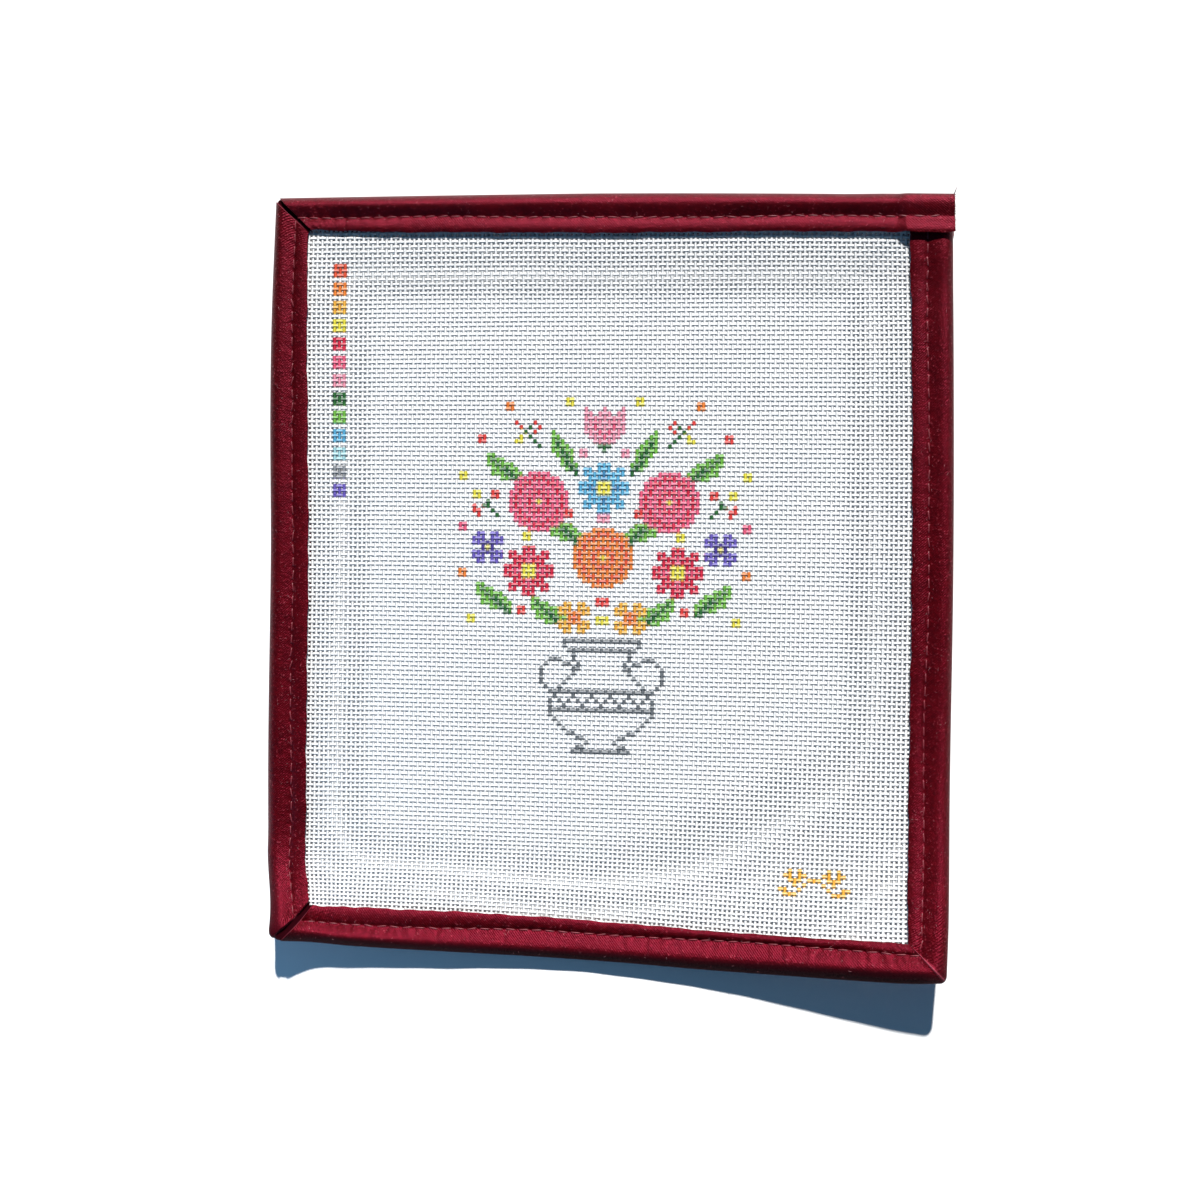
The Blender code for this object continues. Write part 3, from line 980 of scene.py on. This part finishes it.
tape_cloth, tree, shader = new_material("burgundy cotton tape")
where = shader_node(tree, "TexCoord").outputs["Object"]
blotches = shader_node(tree, "TexNoise", {"Vector": where, "Scale": 110, "Detail": 4, "Roughness": 0.65})
mottle = shader_node(tree, "TexNoise", {"Vector": where, "Scale": 700, "Detail": 3, "Roughness": 0.7})
flecks = shader_node(tree, "TexNoise", {"Vector": where, "Scale": 1500, "Detail": 3, "Roughness": 0.6})
uneven = math_node(tree, "MULTIPLY_ADD", blotches.outputs[0], 0.5, mottle.outputs[0])
faded = shader_node(tree, "MapRange", {"Value": uneven, "From Min": 0.55, "From Max": 0.98})
dyed = mixed_colour(tree, faded.outputs[0], DEEP_BURGUNDY, FADED_BURGUNDY)
fluffy = mixed_colour(tree, steep(tree, flecks.outputs[0], 0.60, 0.78), dyed, FLUFF)
edge = shader_node(tree, "Attribute", attribute_name="rubbed").outputs["Fac"]
paler = mixed_colour(tree, edge, fluffy, RUBBED)
# Painted shade: the tape's colour is darkened towards near-black where the fold hangs and in the open
# mitres, and the cloth is made rougher there.
painted_shade_mask = shader_node(tree, "Attribute", attribute_name="shaded").outputs["Fac"]
tree.links.new(mixed_colour(tree, painted_shade_mask, paler, PAINTED_SHADE_COLOUR), shader.inputs["Base Color"])
weave = shader_node(tree, "Group", node_tree=twill)
tree.links.new(shader_node(tree, "UVMap", uv_map="cloth").outputs[0], weave.inputs["Place"])
weave.inputs["Ribs in a mm"].default_value = 1.3
relief = math_node(tree, "MULTIPLY_ADD", flecks.outputs[0], 5.0, weave.outputs["Height"])
add_bump(tree, shader, relief, 0.00005, 1.0)
rough = shader_node(tree, "MapRange", {"Value": painted_shade_mask, "To Min": 0.40, "To Max": 1.0})
tree.links.new(rough.outputs[0], shader.inputs["Roughness"])
shader.inputs["IOR"].default_value = 1.38
shader.inputs["Specular IOR Level"].default_value = 1.0
shader.inputs["Specular Tint"].default_value = (1.0, 0.07, 0.17, 1)
tape.data.materials.append(tape_cloth)
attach(tape, "root")
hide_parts("binding_tape")

# --- Sewing thread --------------------------------------------------------------------------------------
# One row of machine stitches of a lighter red thread that holds the tape, through both its layers and the
# canvas. Each stitch is pulled into the cloth at its two needle holes, on the face and on the back.

Bead = namedtuple("Bead", "along height radius")
STITCH = (
    Bead(-1.50, -0.35, 0.10),
    Bead(-1.25, -0.02, 0.16),
    Bead(-0.70, 0.08, 0.18),
    Bead(0.00, 0.11, 0.18),
    Bead(0.70, 0.08, 0.18),
    Bead(1.25, -0.02, 0.16),
    Bead(1.50, -0.35, 0.10),
)
BACK_STITCH_HEIGHT = -1.60
STITCH_SIDES = 6
bead = np.array(STITCH)
centres = np.arange(STITCH_PITCH, line_along[-1] - STITCH_PITCH, STITCH_PITCH) + STITCH_PITCH / 2
centres = centres[strip_at(opened, centres) < 0.2]
draw = np.random.default_rng(31)
centres = centres + draw.normal(0, 0.06, centres.shape)
at = centres[:, None] + bead[:, 0]
column = np.argmin(np.abs(SECTION_AT - (TAPE_WIDTH - STITCH_LINE)))
sewn_height = surface[:, column]
sewn_place = strip_at(places[:, column], at.ravel()).reshape(*at.shape, 2)
ahead = strip_at(places[:, column], at.ravel() + 0.4).reshape(*at.shape, 2) - sewn_place
ahead /= np.linalg.norm(ahead, axis=-1, keepdims=True)
beside = np.stack([-ahead[..., 1], ahead[..., 0]], axis=-1)
slant = draw.normal(0, 0.10, (len(centres), 1)) * bead[:, 0]
turn = np.arange(STITCH_SIDES) * math.tau / STITCH_SIDES
tubes = []
for face, base in ((1, strip_at(sewn_height, centres)[:, None]), (-1, BACK_STITCH_HEIGHT)):
    middle = sewn_place + beside * slant[..., None]
    ring = middle[:, :, None] + beside[:, :, None] * (bead[:, 2, None] * np.cos(turn))[None, :, :, None]
    raised = base + (bead[:, 1] if face > 0 else -np.minimum(bead[:, 1], 0))
    raised = np.broadcast_to(raised, middle.shape[:2])
    tubes.append(on_cloth(ring[..., 0], ring[..., 1], raised[..., None] + bead[:, 2, None] * np.sin(turn)))
stitches = lofted("sewing_thread", np.concatenate(tubes))
count = 2 * len(centres)
laid_across = (np.arange(count)[:, None, None] + np.linspace(0, 0.9, STITCH_SIDES + 1)) / count * MAP_SIDE
laid_along = np.linspace(0, MAP_SIDE, len(bead))[None, :, None]
add_map(stitches, "OFBake", *np.broadcast_arrays(laid_across, laid_along))
sewing_thread, tree, shader = new_material("pinkish red sewing thread")
laid = shader_node(tree, "UVMap", uv_map="OFBake").outputs[0]
plies = twisted(tree, laid, count, 6, 3)
add_bump(tree, shader, plies, 0.00003, 0.7)
# Painted shade and highlight: the thread's colour is darker in the grooves between its plies and lighter on
# their ridges.
pinkish = mixed_colour(tree, plies, (0.08, 0.004, 0.008), (0.25, 0.035, 0.05))
tree.links.new(pinkish, shader.inputs["Base Color"])
shader.inputs["Roughness"].default_value = 0.45
stitches.data.materials.append(sewing_thread)
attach(stitches, "root")

# --- Loose fibres ---------------------------------------------------------------------------------------
# Cotton fibres that stand out of the tape: frayed ends along the cut end, with a short end of sewing thread
# at its corner, and pale lint caught all over the tape.

FIBRE_SIDES = 3
FIBRE_RINGS = 4


def fibres(name, starts, headings, lengths, radii, bends, seed):
    """Thin curved tubes: starts (n, 3) in metres, headings (n, 3), the rest in millimetres."""
    draw = np.random.default_rng(seed)
    count = len(starts)
    headings = headings / np.linalg.norm(headings, axis=1, keepdims=True)
    sideways = np.cross(headings, draw.normal(0, 1, (count, 3)))
    sideways /= np.linalg.norm(sideways, axis=1, keepdims=True)
    third = np.cross(headings, sideways)
    share = np.linspace(0, 1, FIBRE_RINGS)
    spine = headings[:, None] * share[:, None] * np.asarray(lengths)[:, None, None]
    spine = spine + sideways[:, None] * (share**2)[:, None] * (bends * np.asarray(lengths))[:, None, None]
    taper = (1 - 0.6 * share)[:, None] * np.asarray(radii)[:, None, None]
    turn = np.arange(FIBRE_SIDES) * math.tau / FIBRE_SIDES
    ring = sideways[:, None, None] * np.cos(turn)[:, None] + third[:, None, None] * np.sin(turn)[:, None]
    tubes = starts[:, None, None] + (spine[:, :, None] + ring * taper[..., None]) * MM
    tubes[..., 2] = np.maximum(tubes[..., 2], SURFACE * MM)
    piece = lofted(name, tubes)
    across = (np.arange(count)[:, None, None] + np.linspace(0, 0.9, FIBRE_SIDES + 1)) / count * MAP_SIDE
    along = np.linspace(0, MAP_SIDE, FIBRE_RINGS)[None, :, None]
    add_map(piece, "OFBake", *np.broadcast_arrays(across, along))
    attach(piece, "root")
    return piece


def fibre_material(name, dark, light):
    cotton, tree, shader = new_material(name)
    where = shader_node(tree, "TexCoord").outputs["Object"]
    tone = shader_node(tree, "TexNoise", {"Vector": where, "Scale": 350, "Detail": 1})
    sorts = shader_node(tree, "MapRange", {"Value": tone.outputs[0], "From Min": 0.3, "From Max": 0.7})
    tree.links.new(mixed_colour(tree, sorts.outputs[0], dark, light), shader.inputs["Base Color"])
    shader.inputs["Roughness"].default_value = 0.6
    return cotton


LINT_COUNT = 560
draw = np.random.default_rng(41)
station = draw.uniform(3, line_along[-1] - 2, LINT_COUNT)
columns = draw.integers(1, int(np.argmax(SECTION_AT > 12)), LINT_COUNT)
grid = rings.reshape(len(line_along), -1, 3)
row = np.searchsorted(line_along, station)
starts = grid[row, columns]
inward = grid[row, columns + 1] - grid[row, columns - 1]
onward = grid[row, columns] - grid[row - 1, columns]
flat_turn = draw.uniform(0, math.tau, LINT_COUNT)[:, None]
square = np.cross(inward, onward)
square *= np.sign(square[:, 2:])
square /= np.linalg.norm(square, axis=1, keepdims=True)
inward /= np.linalg.norm(inward, axis=1, keepdims=True)
onward = np.cross(square, inward)
heading = inward * np.cos(flat_turn) + onward * np.sin(flat_turn) + square * 0.12
lint = fibres(
    "lint_on_tape",
    starts + square * 0.04 * MM,
    heading,
    draw.uniform(0.2, 0.6, LINT_COUNT) + draw.uniform(0, 1, LINT_COUNT) ** 6,
    draw.uniform(0.03, 0.06, LINT_COUNT),
    draw.uniform(-0.3, 0.3, LINT_COUNT),
    42,
)
lint.data.materials.append(fibre_material("pale lint", (0.28, 0.05, 0.07), (0.55, 0.28, 0.30)))

FRAY_COUNT = 70
cut = grid[-1, : 2 * len(SECTION_AT)]
pick = draw.integers(0, len(cut) - 1, FRAY_COUNT)
along_cut = draw.uniform(0, 1, (FRAY_COUNT, 1))
starts = cut[pick] + (cut[pick + 1] - cut[pick]) * along_cut
onward = (grid[-1] - grid[-2]).mean(axis=0)
onward /= np.linalg.norm(onward)
heading = onward + draw.normal(0, 0.35, (FRAY_COUNT, 3))
lengths = draw.uniform(0.3, 0.9, FRAY_COUNT)
radii = np.full(FRAY_COUNT, 0.06)
# The last fibre stands for the end of the sewing thread, at the top corner.
starts[-1] = cut[int(np.argmax(SECTION_AT > 11.6))]
heading[-1] = (0.35, 1.0, 0.5)
lengths[-1] = 1.9
radii[-1] = 0.2
bends = draw.uniform(-0.3, 0.3, FRAY_COUNT)
frayed = fibres("frayed_cut_end", starts - onward * 0.1 * MM, heading, lengths, radii, bends, 43)
frayed_cotton = fibre_material("frayed burgundy cotton", (0.05, 0.002, 0.006), (0.16, 0.012, 0.03))
frayed.data.materials.append(frayed_cotton)

# --- Floor, light and camera ----------------------------------------------------------------------------
# A white surface in hard high sun from beyond the top edge, with a little blue skylight in the shadows.

bpy.ops.mesh.primitive_plane_add(size=4, location=(0, 0, SURFACE * MM))
floor = bpy.context.object
floor.name = "floor"
white, _, shader = new_material("white surface")
shader.inputs["Base Color"].default_value = (0.9, 0.9, 0.9, 1)
shader.inputs["Roughness"].default_value = 0.9
floor.data.materials.append(white)

SUN_FROM = Vector((0.17, 1.23, 1.0))
bpy.ops.object.light_add(type="SUN", rotation=SUN_FROM.to_track_quat("Z", "Y").to_euler())
sun = bpy.context.object.data
sun.energy = 7.0
sun.angle = math.radians(2.0)
sun.color = (1.0, 0.98, 0.95)

world = bpy.data.worlds.new("skylight")
bpy.context.scene.world = world
world.use_nodes = True
world.node_tree.nodes["Background"].inputs["Color"].default_value = (0.27, 0.58, 1.0, 1)
world.node_tree.nodes["Background"].inputs["Strength"].default_value = 0.135

# Soft blue light from the lower left.
FILL_AT = Vector((-0.24, -0.17, 0.10))
bpy.ops.object.light_add(type="AREA", location=FILL_AT)
bpy.context.object.rotation_euler = (FILL_AT - Vector((-0.09, -0.12, 0))).to_track_quat("Z", "Y").to_euler()
fill = bpy.context.object.data
fill.size = 0.12
fill.energy = 0.10
fill.color = (0.25, 0.58, 1.0)
bpy.context.scene.view_settings.view_transform = "Standard"

# Half a metre up and right of the panel's middle, looking down and a little to the left.
middle = (cad_low + cad_high) / 2
bpy.ops.object.camera_add(location=(middle.x + 65.1 * MM, middle.y + 9.0 * MM, 500 * MM))
camera = bpy.context.object
camera.rotation_mode = "ZXY"
camera.rotation_euler = [math.radians(turn) for turn in (-1.72, 7.50, 0.80)]
camera.data.lens = 49.65
bpy.context.scene.camera = camera
